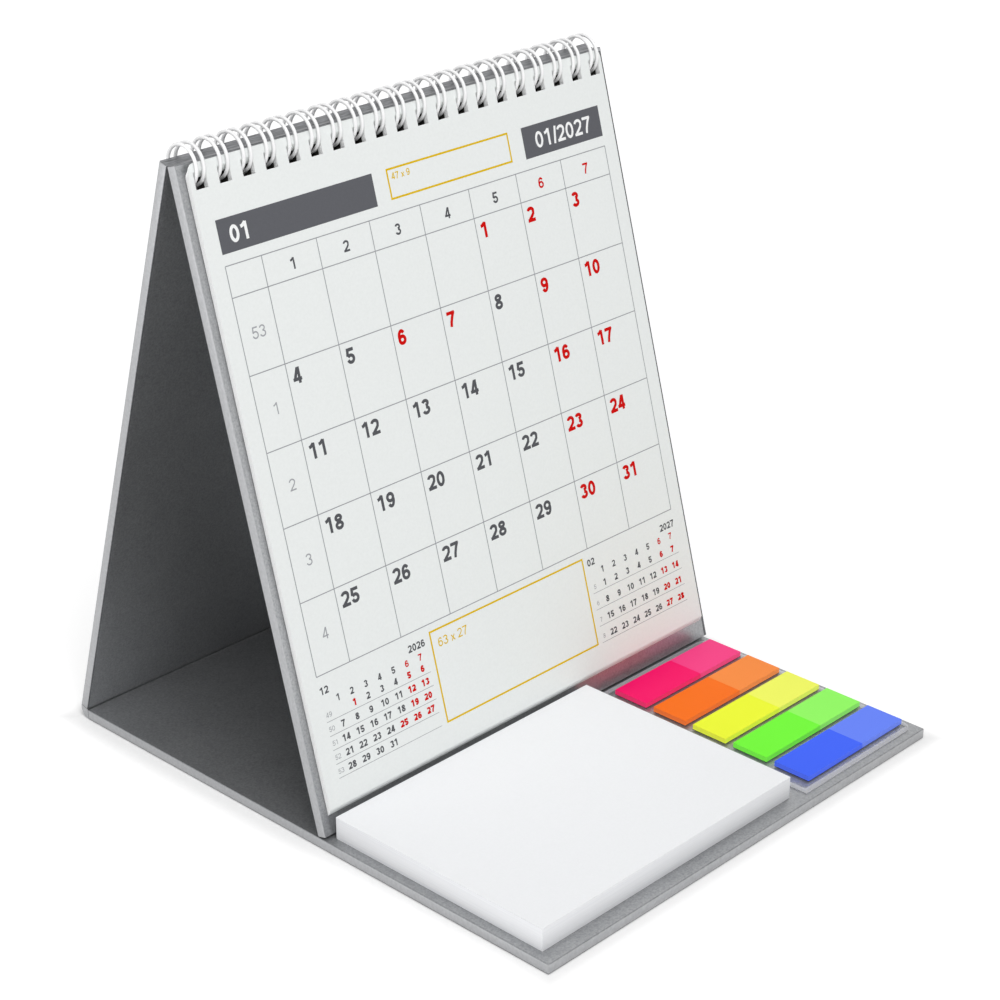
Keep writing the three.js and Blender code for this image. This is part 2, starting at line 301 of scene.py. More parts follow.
def makePaper(name, finish, edge):
    material, tree, shader = newMaterial(name, {
        "Roughness": finish["roughness"], "Specular IOR Level": finish["specular"]})
    grain = mottle(tree, (finish["grainMm"],) * 3, detail=4)
    onEdge, edgeColour, edgeHeight = edge(tree, grain)
    colour = addNode(tree, "ShaderNodeMix", {"data_type": "RGBA"}, {
        "Factor": grain, 6: linear(finish["dark"]), 7: linear(finish["light"])})
    painted = addNode(tree, "ShaderNodeMix", {"data_type": "RGBA"}, {
        "Factor": onEdge, 6: colour.outputs[2], 7: edgeColour})
    height = addNode(tree, "ShaderNodeMix", {"data_type": "FLOAT"}, {
        "Factor": onEdge, 2: grain, 3: edgeHeight})
    bump = addNode(tree, "ShaderNodeBump", inputs={
        "Height": height.outputs[0], "Strength": finish["relief"], "Distance": mm(finish["grainHeightMm"])})
    setInputs(tree, shader, {"Base Color": painted.outputs[2], "Normal": bump.outputs[0]})
    return material


# Flag film: the tab is dyed through, and the glued end is clearer, so it looks lighter. The cut sides are
# painted a little paler and given a glow, as painted light, and show the leaves, drawn coarser than they
# are. Each block's foot is painted dark, as painted shade, up to shadeTop, in millimetres from the table.
flagFinish = {
    "dyes": {
        "blue": ("#4168FF", "#6A88FF"), "green": ("#76FF38", "#96FF66"), "yellow": ("#F4FF34", "#F8FF66"),
        "orange": ("#FF7410", "#FF9244"), "pink": ("#FF0A6C", "#FF448C"),
    },
    "splitX": 138, "roughness": 0.45, "specular": 0.12, "shade": "#38383C", "shadeTop": 3.51,
    "sidePaintedPaleness": 0.04, "sidePaintedGlow": 0.14, "leafMm": (100, 100, 0.25), "relief": 0.3, "leafHeightMm": 0.02,
}


def makeFlagFilm(colourName):
    finish = flagFinish
    tab, end = finish["dyes"][colourName]
    material, tree, shader = newMaterial(colourName + "PetFilm", {
        "Roughness": finish["roughness"], "Specular IOR Level": finish["specular"],
        "Emission Strength": finish["sidePaintedGlow"]})
    where = addNode(tree, "ShaderNodeTexCoord")
    along = addNode(tree, "ShaderNodeSeparateXYZ", inputs={0: where.outputs["Object"]})
    atEnd = addNode(tree, "ShaderNodeMath", {"operation": "GREATER_THAN"}, {
        0: along.outputs["X"], 1: mm(finish["splitX"] - stand["width"] / 2)})
    # Below shadeTop the film is painted dark, as painted shade under the block.
    aboveShade = addNode(tree, "ShaderNodeMath", {"operation": "GREATER_THAN"}, {
        0: along.outputs["Z"], 1: mm(finish["shadeTop"])})
    onSide = facingSide(tree)
    # The cut sides are painted paler and glow, as painted light.
    milk = addNode(tree, "ShaderNodeMath", {"operation": "MULTIPLY"}, {0: onSide, 1: finish["sidePaintedPaleness"]})
    dyed = addNode(tree, "ShaderNodeMix", {"data_type": "RGBA"}, {
        "Factor": atEnd.outputs[0], 6: linear(tab), 7: linear(end)})
    milky = addNode(tree, "ShaderNodeMix", {"data_type": "RGBA"}, {
        "Factor": milk.outputs[0], 6: dyed.outputs[2], 7: (1, 1, 1, 1)})
    shaded = addNode(tree, "ShaderNodeMix", {"data_type": "RGBA"}, {
        "Factor": aboveShade.outputs[0], 6: linear(finish["shade"]), 7: milky.outputs[2]})
    glow = addNode(tree, "ShaderNodeMix", {"data_type": "RGBA"}, {
        "Factor": onSide, 6: (0, 0, 0, 1), 7: shaded.outputs[2]})
    leaves = mottle(tree, finish["leafMm"], detail=1)
    bump = addNode(tree, "ShaderNodeBump", inputs={
        "Height": leaves, "Strength": finish["relief"], "Distance": mm(finish["leafHeightMm"])})
    setInputs(tree, shader, {
        "Base Color": shaded.outputs[2], "Emission Color": glow.outputs[2], "Normal": bump.outputs[0]})
    return material


# The film that carries the flags, in millimetres from the foot's left front corner
carrier = {
    "x": 107.6, "y": 2.5, "width": 50.9, "depth": 78.2, "thickness": 0.4, "cornerRound": 4,
    "edgeRound": 0.06,
}

# Clear PVC film: see-through and glossy, a little milky, and whiter in a band along its rim
filmFinish = {
    "milk": "#F1F2F8", "share": 0.06, "rimShare": 0.42, "rimMm": 1.6, "rimSoftMm": 0.3, "roughness": 0.06,
    "ior": 1.5, "waveMm": 9, "relief": 0.2, "waveHeightMm": 0.05,
}


def makeClearFilm():
    finish = filmFinish
    material, tree, shader = newMaterial("clearPvcFilm", {
        "Base Color": linear(finish["milk"]), "Roughness": finish["roughness"]})
    wave = mottle(tree, (finish["waveMm"],) * 3, detail=1)
    bump = addNode(tree, "ShaderNodeBump", inputs={
        "Height": wave, "Strength": finish["relief"], "Distance": mm(finish["waveHeightMm"])})
    setInputs(tree, shader, {"Normal": bump.outputs[0]})
    half = (carrier["width"] / 2, carrier["depth"] / 2)
    middle = (carrier["x"] + half[0] - stand["width"] / 2, carrier["y"] + half[1] - centreY)
    share = addNode(tree, "ShaderNodeMapRange", inputs={
        "Value": boxReach(tree, middle, half), "From Min": mm(-finish["rimMm"] - finish["rimSoftMm"]),
        "From Max": mm(-finish["rimMm"]), "To Min": finish["share"], "To Max": finish["rimShare"]})
    clear = addNode(tree, "ShaderNodeBsdfTransparent")
    both = addNode(tree, "ShaderNodeMixShader", inputs={
        0: share.outputs[0], 1: clear.outputs[0], 2: shader.outputs[0]})
    mirror = addNode(tree, "ShaderNodeBsdfGlossy", inputs={"Roughness": finish["roughness"]})
    rise = addNode(tree, "ShaderNodeFresnel", inputs={"IOR": finish["ior"]})
    faces = addNode(tree, "ShaderNodeNewGeometry")
    outer = addNode(tree, "ShaderNodeMath", {"operation": "SUBTRACT"}, {
        0: 1, 1: faces.outputs["Backfacing"]})
    shine = addNode(tree, "ShaderNodeMath", {"operation": "MULTIPLY"}, {
        0: rise.outputs[0], 1: outer.outputs[0]})
    whole = addNode(tree, "ShaderNodeMixShader", inputs={
        0: shine.outputs[0], 1: both.outputs[0], 2: mirror.outputs[0]})
    setInputs(tree, tree.nodes["Material Output"], {"Surface": whole.outputs[0]})
    return material


# Greyboard core: dull grey fibre, which shows on the walls of the punched holes. Its tones are darker than
# greyboard, as painted shade in the holes.
coreFinish = {"roughness": 0.95, "specular": 0.1, "patchMm": 0.3, "detail": 4}
coreTonesWithPaintedShade = [linear("#2E2D2C"), linear("#454341")]

# Nylon-coated steel wire: white, smooth, with a soft shine and the odd thin spot of its coat
wireFinish = {"roughness": 0.22, "specular": 0.5, "patchMm": 3, "detail": 2}
wireTones = [linear("#FCFCFC"), linear("#F4F4F5")]

# Offset printing ink, laid thin on the paper, so its tone varies a little
inkFinish = {"roughness": 0.6, "specular": 0.1, "patchMm": 0.6, "detail": 2, "spread": 0.06}
inkColours = {
    "banner": "#5F6065", "bannerNumber": "#F4F5F5", "line": "#9A9CA0", "number": "#55565A",
    "red": "#CE0400", "pale": "#A3A5A9", "frame": "#DEBA00",
}


def inkTones(hexColour):
    shares = (1 - inkFinish["spread"], 1 + inkFinish["spread"])
    return [[min(c * share, 1) for c in linear(hexColour)[:3]] + [1] for share in shares]


def makeMottled(name, finish, tones):
    material, tree, shader = newMaterial(name, {
        "Roughness": finish["roughness"], "Specular IOR Level": finish["specular"]})
    patches = mottle(tree, (finish["patchMm"],) * 3, finish["detail"])
    colour = addNode(tree, "ShaderNodeMix", {"data_type": "RGBA"}, {
        "Factor": patches, 6: tones[0], 7: tones[1]})
    setInputs(tree, shader, {"Base Color": colour.outputs[2]})
    return material


boardPaper = makeBoardPaper("silverBoardPaper", "face")
# The side paper is painted light, and the crease paper is painted shade.
paintedLightSidePaper = makeBoardPaper("silverBoardPaperPaintedLighterAtSides", "side")
spinePaper = makeBoardPaper("silverBoardPaperAtSpine", "spine")
paintedShadeCreasePaper = makeBoardPaper("silverBoardPaperPaintedShadeAtCreases", "paintedShadeCrease")
darkTopEdgePaper = makeBoardPaper("silverBoardPaperDarkAtTopEdges", "fold")
coreWithPaintedShade = makeMottled("greyboardCoreWithPaintedShade", coreFinish, coreTonesWithPaintedShade)
sheetPaper = makePaper("coatedPrintingPaper", sheetFinish, sheetEdge)
notePaper = makePaper("woodfreeNotePaper", noteFinish, noteEdge)
wireCoat = makeMottled("whiteNylonCoat", wireFinish, wireTones)
clearFilm = makeClearFilm()
flagFilms = [makeFlagFilm(name) for name in flagFinish["dyes"]]
inks = {name: makeMottled(name + "Ink", inkFinish, inkTones(value)) for name, value in inkColours.items()}
inkOrder = list(inks)
print("materials made")


# Wire and holes, in millimetres. The ring's centre lies below and in front of the boards' top corner.
# The seam and the tips are angles round the ring in degrees, counted upwards from its rear.
binding = {
    "loops": 20, "pitch": 7.8, "wire": 1, "twin": 2.4, "ring": 5.6, "drop": 0.9, "forward": 0.35,
    "seam": -20, "tip": -39, "seamBend": 0.9, "stub": 0.7, "bendSteps": 6, "tipSteps": 10, "legSteps": 40,
    "holeWidth": 4, "boardHoleTop": 3.9, "boardHoleHeight": 4.4,
}


def loopPlaces():
    first = stand["width"] / 2 - (binding["loops"] - 1) * binding["pitch"] / 2
    return [first + index * binding["pitch"] for index in range(binding["loops"])]


# Square holes, one for each loop, cut right through with their upper edges at one height
def punchHoles(slab, top, low):
    wide, high, spare = binding["holeWidth"], binding["boardHoleHeight"], 1
    size = (wide, high, stand["board"] + 2 * spare)
    cutter = joinPieces([
        addBlock("cutter", (at - wide / 2, top - high, low - spare), size) for at in loopPlaces()
    ])
    applyModifier(slab, "BOOLEAN", operation="DIFFERENCE", solver="EXACT", object=cutter)
    bpy.data.objects.remove(cutter)


# Lighter paper on the cut sides and the foot's front edge, as painted light. Darker paper where it's creased
# over an edge and along the front board's right rim, as painted shade, with a less dark paper along the
# foot's top edges. Bare core on the holes' walls, toned dark as painted shade.
def paintBoard(slab, name, bottom, low):
    coat(slab, boardPaper, paintedLightSidePaper, coreWithPaintedShade, paintedShadeCreasePaper, darkTopEdgePaper)
    side, core, paintedShadeCrease, fold = range(1, 5)  # their places in the list of papers
    thick, edge = stand["board"], stand["edgeRound"]
    creases = {
        "base_board": {0: paintedShadeCrease, thick: fold}, "back_board": {thick: paintedShadeCrease}, "front_board": {0: paintedShadeCrease},
    }[name]
    for face in slab.data.polygons:
        x, y, z = face.center
        inset, along, height = min(x, stand["width"] - x), y - bottom, z - low
        bent = max(abs(part) for part in face.normal) < 0.98  # on a rounded edge
        upright = abs(face.normal.z) < 0.1  # on a cut side or a hole's wall
        atFootFront = name == "base_board" and along < edge
        atRim = name == "front_board" and x > stand["width"] - stand["rim"]
        creased = [paper for level, paper in creases.items() if abs(height - level) < edge]
        if bent and creased and (inset < edge or atFootFront):
            face.material_index = creased[0]
        elif atRim and (bent or face.normal.z > 0.9):
            face.material_index = paintedShadeCrease
        elif inset < edge or atFootFront and height > edge:
            face.material_index = side
        elif upright and edge < height < thick - edge and min(inset, along) > 1:
            face.material_index = core


# Boards: slabs with rounded edges, two of them with the row of wire holes
def makeBoard(name, bottom, length, low, place, body, punched):
    slab = addBlock(name, (0, bottom, low), (stand["width"], length, stand["board"]))
    applyModifier(slab, "BEVEL", width=stand["edgeRound"], segments=3, limit_method="ANGLE")
    if punched:
        punchHoles(slab, bottom + length + stand["endGap"] - binding["boardHoleTop"], low)
    # The front board's right rim is cut apart so that it can take the painted shade.
    if name == "front_board":
        cutAlong(slab, [((stand["width"] - stand["rim"], 0, 0), (1, 0, 0))])
    paintBoard(slab, name, bottom, low)
    finishPiece(slab, place, body, name, degrees=25)


gap = stand["endGap"]
backSpan, frontSpan = stand["backLength"] - 2 * gap, stand["frontLength"] - 2 * gap
makeBoard("base_board", 0, stand["baseDepth"] - gap, 0, basePlane, "base", False)
makeBoard("back_board", gap, backSpan, -stand["board"], backPlane, "back", True)
makeBoard("front_board", gap - stand["frontLength"], frontSpan, 0, frontPlane, "front", True)
print("boards made")


# The covering follows the two top ends, with a lip over the front board's corner.
# Each stop: distance along the paper, then height over and depth into a board's own plane, and its facing.
spineCover = {
    "thickness": 0.1,
    "front": [(0, -1.15, 3.02, 0), (0.85, -0.3, 3.02, 0), (1.1, -0.14, 2.9, 45), (1.25, -0.12, 2.7, 90)],
    "valley": (4, 0.08),
    "back": [(6.75, -0.12, 2.7, 90), (6.95, -0.14, 2.95, 45)],
}


def makeSpineCover():
    stops = []
    for side, lean, sign in (("front", frontLean, -1), ("back", backLean, 1)):
        out = Vector((0, sign * math.cos(lean), math.sin(lean)))
        up = Vector((0, -sign * math.sin(lean), math.cos(lean)))
        for along, high, deep, facing in spineCover[side]:
            turn = math.radians(facing)
            point = spinePoint + up * high + out * deep
            stops.append((along, point, out * math.cos(turn) + up * math.sin(turn)))
    along, sink = spineCover["valley"]
    stops.append((along, spinePoint - Vector((0, 0, sink)), Vector((0, 0, 1))))
    stops.sort(key=lambda stop: stop[0])
    lip, rear = stops[2][1], stops[-1][1]
    inset = stand["coverInset"]
    cover = addBlock("spine_cover", (inset, 0, 0), (
        stand["width"] - 2 * inset, stops[-1][0], spineCover["thickness"]))
    cutAlong(cover, [((0, stop[0], 0), (0, 1, 0)) for stop in stops[1:-1]])
    for corner in cover.data.vertices:
        point, facing = min(stops, key=lambda stop: abs(stop[0] - corner.co.y))[1:]
        place = point + facing * corner.co.z
        corner.co = (mm(corner.co.x - stand["width"] / 2), mm(place.y), mm(place.z))
    # The lip's front gets the lighter side paper, as painted light on the shaded strip under the spine.
    coat(cover, spinePaper, paintedLightSidePaper)
    for face in cover.data.polygons:  # the side paper on the lip's front
        face.material_index = int(face.center.y < mm(lip.y) and face.normal.y < -0.8)
    smooth(cover, degrees=25)
    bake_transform(cover)
    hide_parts("spine_hinge")


makeSpineCover()
print("spine cover made")


# Rear fold: the covering wraps both board ends in one round
def makeRearFold():
    middle = foldPoint / 1000
    up = Vector((0, math.cos(backLean), math.sin(backLean)))
    deselectAll()
    bpy.ops.mesh.primitive_cylinder_add(
        vertices=96, radius=mm(stand["board"]), depth=mm(stand["width"] - 2 * stand["coverInset"]),
        location=middle, rotation=(0, math.pi / 2, 0))
    fold = bpy.context.object
    fold.name = fold.data.name = "rear_fold_cover"
    bpy.ops.object.transform_apply(location=True, rotation=True, scale=True)
    cutAlong(fold, [(middle, (0, -1, 0)), (middle, (0, -up.z, up.y))], use_fill=True, clear_outer=True)
    bpy.ops.object.mode_set(mode="EDIT")
    bpy.ops.mesh.select_all(action="SELECT")
    bpy.ops.mesh.normals_make_consistent(inside=False)
    bpy.ops.object.mode_set(mode="OBJECT")
    # Its cut ends get the lighter side paper, as painted light.
    coat(fold, boardPaper, paintedLightSidePaper)
    for face in fold.data.polygons:
        face.material_index = int(abs(face.normal.x) > 0.9)
    smooth(fold, degrees=35)
    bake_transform(fold)
    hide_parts("rear_hinge")


makeRearFold()
print("rear fold made")


# Wire comb: one path on the rings' cylinder, drawn as a curve with a round section
def combPath():
    points = []
    ring = binding["ring"]
    bend = binding["seamBend"]
    half = binding["twin"] / 2
    seam = ring * math.radians(binding["seam"])
    legStart = seam + bend
    legEnd = ring * math.radians(binding["tip"] + 360) - half
    centre = Vector((0, spinePoint.y - binding["forward"], spinePoint.z - binding["drop"]))

    def put(x, around):
        angle = around / ring
        points.append(Vector((
            mm(x - stand["width"] / 2),
            mm(centre.y + ring * math.cos(angle)),
            mm(centre.z + ring * math.sin(angle)),
        )))

    def arc(x, around, radius, start, stop, steps):
        for step in range(1, steps + 1):
            turn = start + (stop - start) * step / steps
            put(x + radius * math.cos(turn), around + radius * math.sin(turn))

    def leg(x, start, stop):
        for step in range(1, binding["legSteps"] + 1):
            put(x, start + (stop - start) * step / binding["legSteps"])

    places = loopPlaces()
    reach = half + bend + binding["stub"]
    put(places[0] - reach, seam)
    for place in places:
        put(place - half - bend, seam)
        arc(place - half - bend, legStart, bend, -math.pi / 2, 0, binding["bendSteps"])
        leg(place - half, legStart, legEnd)
        arc(place, legEnd, half, math.pi, 0, binding["tipSteps"])
        leg(place + half, legEnd, legStart)
        arc(place + half + bend, legStart, bend, math.pi, 1.5 * math.pi, binding["bendSteps"])
    put(places[-1] + reach, seam)
    return points


def makeWire():
    curve = bpy.data.curves.new("wire_binding_coat", "CURVE")
    curve.dimensions = "3D"
    curve.bevel_depth = mm(binding["wire"] / 2)
    curve.bevel_resolution = 3
    curve.use_fill_caps = True
    path = combPath()
    spline = curve.splines.new("POLY")
    spline.points.add(len(path) - 1)
    for point, place in zip(spline.points, path):
        point.co = (*place, 1)
    wire = bpy.data.objects.new("wire_binding_coat", curve)
    scene.collection.objects.link(wire)
    makeActive(wire)
    bpy.ops.object.convert(target="MESH")
    wire = bpy.context.object
    coat(wire, wireCoat)
    finishPiece(wire, Matrix(), "front", "wire_binding", degrees=60)  # already in its place


makeWire()
print("wire made")


# Sheets keep their CAD solids. The print lies just above each one.
sheets = {
    "count": 12, "thickness": 0.1, "pitch": 0.136, "boardGap": 0.15, "slack": 0.25,
    "printLift": 0.01, "frontPrintLift": 0.02,
}
ringOut = binding["forward"] * math.cos(frontLean) - binding["drop"] * math.sin(frontLean)
frontOut = stand["board"] + sheets["boardGap"] + (sheets["count"] - 1) * sheets["pitch"]


# How far down the slope from the rings' centre a sheet hangs, by its distance out from the board's plane
def hangingDrop(out):
    circle = binding["ring"] - sheets["slack"]
    return math.sqrt(circle ** 2 - (out + sheets["thickness"] - ringOut) ** 2)


# Page layout in millimetres: X from the board's left edge, Y up the page from the foot.
# A sixth week shares the last row, and prints lie over one another in layers.
page = {
    "top": 183.44, "columns": [7.45, 19.57, 38.63, 57.74, 76.7, 95.6, 114.6, 133.3, 152.5],
    "gridTop": 155.63, "headerBottom": 147.35, "gridBottom": 44.3, "rows": 5, "gridLine": 0.26,
    "headBase": 149.6, "dayInset": 1.65, "dayDrop": 6.1, "sharedDrop": 9, "layer": 0.002,
    "banner": (7.45, 158.65, 54.45, 8.95), "bannerText": (11.1, 160.8),
    "dateBanner": (120, 158.65, 32.5, 8.95), "dateText": (136.6, 160.75),
    "smallFrame": (67.1, 159.1, 47.4, 8.5), "smallFrameText": ("47 x 9", 68.7, 164.3),
    "wideFrame": (48.6, 15.3, 63.3, 26.9), "wideFrameText": ("63 x 27", 51.3, 36.8), "frameLine": 0.54,
    "year": 2027, "redDays": {(2027, 1): (1, 6, 7), (2026, 12): (1, 25)}, "weekend": (5, 6),
}

# The months before and after, each with its left edge, its first column, their pitch and its right edge
smallMonths = {
    "before": (7.45, 13.0, 5.14, 46.5), "after": (113.5, 119.1, 5.15, 152.6),
    "titleBase": 39.0, "headBase": 35.65, "lowestRow": 16.3, "rowPitch": {4: 5.08, 5: 4.0, 6: 3.35},
    "line": 0.14, "lineInset": 0.2, "lineDrop": 1.0, "weekInset": 1.4, "weekRise": 0.2,
}

# Each kind of number: its height, the width of its strokes in parts of the height, and its ink
numberStyles = {
    "banner": (4.6, 0.2, "bannerNumber"), "date": (4.7, 0.17, "bannerNumber"),
    "smallFrame": (1.9, 0.15, "frame"), "wideFrame": (2.6, 0.13, "frame"),
    "head": (3.1, 0.18, "number"), "redHead": (3.1, 0.18, "red"), "week": (3.2, 0.12, "pale"),
    "day": (4.35, 0.21, "number"), "redDay": (4.35, 0.225, "red"),
    "smallTitle": (2.1, 0.2, "number"), "smallWeek": (1.4, 0.12, "pale"),
    "smallHead": (1.95, 0.2, "number"), "redSmallHead": (1.95, 0.2, "red"),
    "smallDay": (1.95, 0.22, "number"), "redSmallDay": (1.95, 0.27, "red"),
}

# How far each sign moves the next one on, in parts of the height
signAdvance = {"/": 0.39, " ": 0.39, "x": 0.6}
digitAdvance = 0.776
glyphStore = {}


def arcPoints(middle, radii, start, stop, steps):
    turns = [math.radians(start + (stop - start) * step / steps) for step in range(steps + 1)]
    return [(middle[0] + radii[0] * math.cos(turn), middle[1] + radii[1] * math.sin(turn)) for turn in turns]


# Each sign is a few strokes: lines of points with X and Y in parts of a number's height. A pen's half
# width keeps the strokes inside the sign's box.
def signStrokes(sign, pen):
    wide = 0.62 + pen * 0.6
    centre = wide / 2
    low, high = pen, 1 - pen
    if sign == "0":
        return [arcPoints((centre, 0.5), (centre - pen, 0.5 - pen), 0, 360, 24)]
    if sign == "1":
        stem = wide * 0.62
        return [[(stem, 0), (stem, 1)], [(wide * 0.1, 0.77), (wide * 0.32, 0.81), (stem, 0.97)]]
    if sign == "2":
        bowl = arcPoints((centre, 0.715), (centre - pen, 0.285 - pen), 172, -12, 12)
        tail = [(wide * 0.8, 0.52), (wide * 0.55, 0.34), (wide * 0.3, 0.2), (wide * 0.16, low)]
        return [bowl + tail, [(0, low), (wide, low)]]
    if sign == "3":
        upper = arcPoints((centre, 0.74), (centre - pen - 0.02, 0.26 - pen), 165, -88, 12)
        lower = arcPoints((centre, 0.29), (centre - pen, 0.29 - pen), 88, -168, 14)
        return [upper, lower]
    if sign == "4":
        stem = wide * 0.72
        return [[(stem, 0), (stem, 1)], [(0, 0.27), (wide, 0.27)],
                [(stem - pen * 0.5, 0.97), (pen * 1.25, 0.27)]]
    if sign == "5":
        bowl = arcPoints((centre, 0.325), (centre - pen, 0.325 - pen), 145, -168, 15)
        return [[(wide * 0.2, high), (wide * 0.94, high)], [(wide * 0.27, 1), (wide * 0.17, 0.5)], bowl]
    if sign in "69":
        ring = arcPoints((centre, 0.33), (centre - pen, 0.33 - pen), 0, 360, 18)
        hook = arcPoints((centre, 0.5), (centre - pen, 0.5 - pen), 190, 38, 11)
        if sign == "6":
            return [ring, hook]
        return [[(wide - x, 1 - y) for x, y in stroke] for stroke in (ring, hook)]
    if sign == "7":
        return [[(0, high), (wide, high)],
                [(wide * 0.93, 0.96), (wide * 0.66, 0.62), (wide * 0.47, 0.3), (wide * 0.38, 0)]]
    if sign == "8":
        return [arcPoints((centre, 0.745), (centre - pen - 0.03, 0.255 - pen), 0, 360, 16),
                arcPoints((centre, 0.285), (centre - pen, 0.285 - pen), 0, 360, 18)]
    if sign == "/":
        return [[(pen, -0.02), (0.36 - pen, 1.02)]]
    if sign == "x":
        return [[(0.04, 0.02), (0.5, 0.66)], [(0.04, 0.66), (0.5, 0.02)]]
    return []


# Corners to the left and right of a stroke, square across its ends
def strokeSides(stroke, pen):
    closed = math.dist(stroke[0], stroke[-1]) < 1e-6
    last = len(stroke) - 1
    sides = []
    for index, (x, y) in enumerate(stroke):
        before, after = stroke[max(index - 1, 0)], stroke[min(index + 1, last)]
        if closed and index in (0, last):
            before, after = stroke[last - 1], stroke[1]
        run = Vector((after[0] - before[0], after[1] - before[1])).normalized()
        aside, ahead = run.y * pen, run.x * pen
        sides.append((Vector((x - aside, y + ahead, 0)), Vector((x + aside, y - ahead, 0))))
    return sides


# A number as a flat mesh one unit high, with its lower left corner at the origin. Each stroke lies a
# layer over the one before.
def numberMesh(text, weight):
    key = (text, weight)
    if key not in glyphStore:
        pen = weight / 2
        corners, faces, start = [], [], 0
        for sign in text:
            for layer, stroke in enumerate(signStrokes(sign, pen)):
                base = len(corners)
                for sides in strokeSides(stroke, pen):
                    corners += [side + Vector((start, 0, page["layer"] * layer)) for side in sides]
                faces += [[base + at + 1, base + at + 3, base + at + 2, base + at]
                          for at in range(0, 2 * len(stroke) - 2, 2)]
            start += signAdvance.get(sign, digitAdvance)
        glyphStore[key] = (corners, faces, max(corner.x for corner in corners))
    return glyphStore[key]


class PagePrint:
    def __init__(self):
        self.corners, self.faces, self.inks = [], [], []

    def addFaces(self, corners, faces, ink):
        base = len(self.corners)
        self.corners += corners
        for face in faces:
            self.faces.append([base + index for index in face])
            self.inks.append(inkOrder.index(ink))

    def bar(self, x, y, width, height, ink, lift=0.0):
        corners = [Vector((x, y, lift)), Vector((x + width, y, lift)),
                   Vector((x + width, y + height, lift)), Vector((x, y + height, lift))]
        self.addFaces(corners, [[0, 1, 2, 3]], ink)

    def outline(self, x, y, width, height, line, ink):
        self.bar(x, y, width, line, ink)
        self.bar(x, y + height - line, width, line, ink)
        self.bar(x, y + line, line, height - 2 * line, ink)
        self.bar(x + width - line, y + line, line, height - 2 * line, ink)

    def number(self, text, x, y, style, side="left", lift=0.0):
        height, weight, ink = numberStyles[style]
        corners, faces, width = numberMesh(text, weight)
        shift = {"left": 0, "middle": -width * height / 2, "right": -width * height}[side]
        placed = [Vector((x + shift + c.x * height, y + c.y * height, lift + c.z)) for c in corners]
        self.addFaces(placed, faces, ink)


def isRed(year, month, day, weekday):
    return weekday in page["weekend"] or day in page["redDays"].get((year, month), ())


def weekOf(year, month, days):
    day = next(day for day in days if day)
    return str(datetime.date(year, month, day).isocalendar()[1])


def drawGrid(sheetPrint, year, month):
    columns, rows, line = page["columns"], page["rows"], page["gridLine"]
    rowHeight = (page["headerBottom"] - page["gridBottom"]) / rows
    levels = [page["gridTop"]] + [page["headerBottom"] - row * rowHeight for row in range(rows + 1)]
    for level in levels:
        sheetPrint.bar(columns[0], level - line / 2, columns[-1] - columns[0], line, "line")
    for column in columns:
        sheetPrint.bar(column - line / 2, page["gridBottom"], line, page["gridTop"] - page["gridBottom"],
                       "line", lift=page["layer"])
    for weekday in range(7):
        middle = (columns[weekday + 1] + columns[weekday + 2]) / 2
        style = "redHead" if weekday in page["weekend"] else "head"
        sheetPrint.number(str(weekday + 1), middle, page["headBase"], style, side="middle")
    for row, days in enumerate(calendar.Calendar().monthdayscalendar(year, month)):
        shared = row >= rows
        top = page["headerBottom"] - min(row, rows - 1) * rowHeight - (page["sharedDrop"] if shared else 0)
        if not shared:
            base = top - rowHeight / 2 - numberStyles["week"][0] / 2
            middle = (columns[0] + columns[1]) / 2
            sheetPrint.number(weekOf(year, month, days), middle, base, "week", side="middle")
        for weekday, day in enumerate(days):
            if day:
                style = "redDay" if isRed(year, month, day, weekday) else "day"
                left = columns[weekday + 1] + page["dayInset"]
                sheetPrint.number(str(day), left, top - page["dayDrop"], style)


def drawSmallMonth(sheetPrint, year, month, left, firstColumn, pitch, right):
    small = smallMonths
    sheetPrint.number(f"{month:02d}", left, small["titleBase"], "smallTitle")
    sheetPrint.number(str(year), right, small["titleBase"], "smallTitle", side="right")
    for weekday in range(7):
        style = "redSmallHead" if weekday in page["weekend"] else "smallHead"
        middle = firstColumn + weekday * pitch
        sheetPrint.number(str(weekday + 1), middle, small["headBase"], style, side="middle")
    weeks = calendar.Calendar().monthdayscalendar(year, month)
    for row, days in enumerate(weeks):
        base = small["lowestRow"] + (len(weeks) - 1 - row) * small["rowPitch"][len(weeks)]
        start, length = left + small["lineInset"], right - left - small["lineInset"]
        sheetPrint.bar(start, base - small["lineDrop"], length, small["line"], "line")
        sheetPrint.number(weekOf(year, month, days), left + small["weekInset"], base + small["weekRise"],
                          "smallWeek", side="middle")
        for weekday, day in enumerate(days):
            if day:
                style = "redSmallDay" if isRed(year, month, day, weekday) else "smallDay"
                sheetPrint.number(str(day), firstColumn + weekday * pitch, base, style, side="middle")


def drawPage(month):
    sheetPrint = PagePrint()
    year = page["year"]
    over = 2 * page["layer"]
    sheetPrint.bar(*page["banner"], "banner")
    sheetPrint.number(f"{month:02d}", *page["bannerText"], "banner", lift=over)
    sheetPrint.bar(*page["dateBanner"], "banner")
    sheetPrint.number(f"{month:02d}/{year}", *page["dateText"], "date", side="middle", lift=over)
    for frameName in ("smallFrame", "wideFrame"):
        sheetPrint.outline(*page[frameName], page["frameLine"], "frame")
        sheetPrint.number(*page[frameName + "Text"], frameName)
    drawGrid(sheetPrint, year, month)
    before = (year, month - 1) if month > 1 else (year - 1, 12)
    after = (year, month + 1) if month < 12 else (year + 1, 1)
    drawSmallMonth(sheetPrint, *before, *smallMonths["before"])
    drawSmallMonth(sheetPrint, *after, *smallMonths["after"])
    return sheetPrint


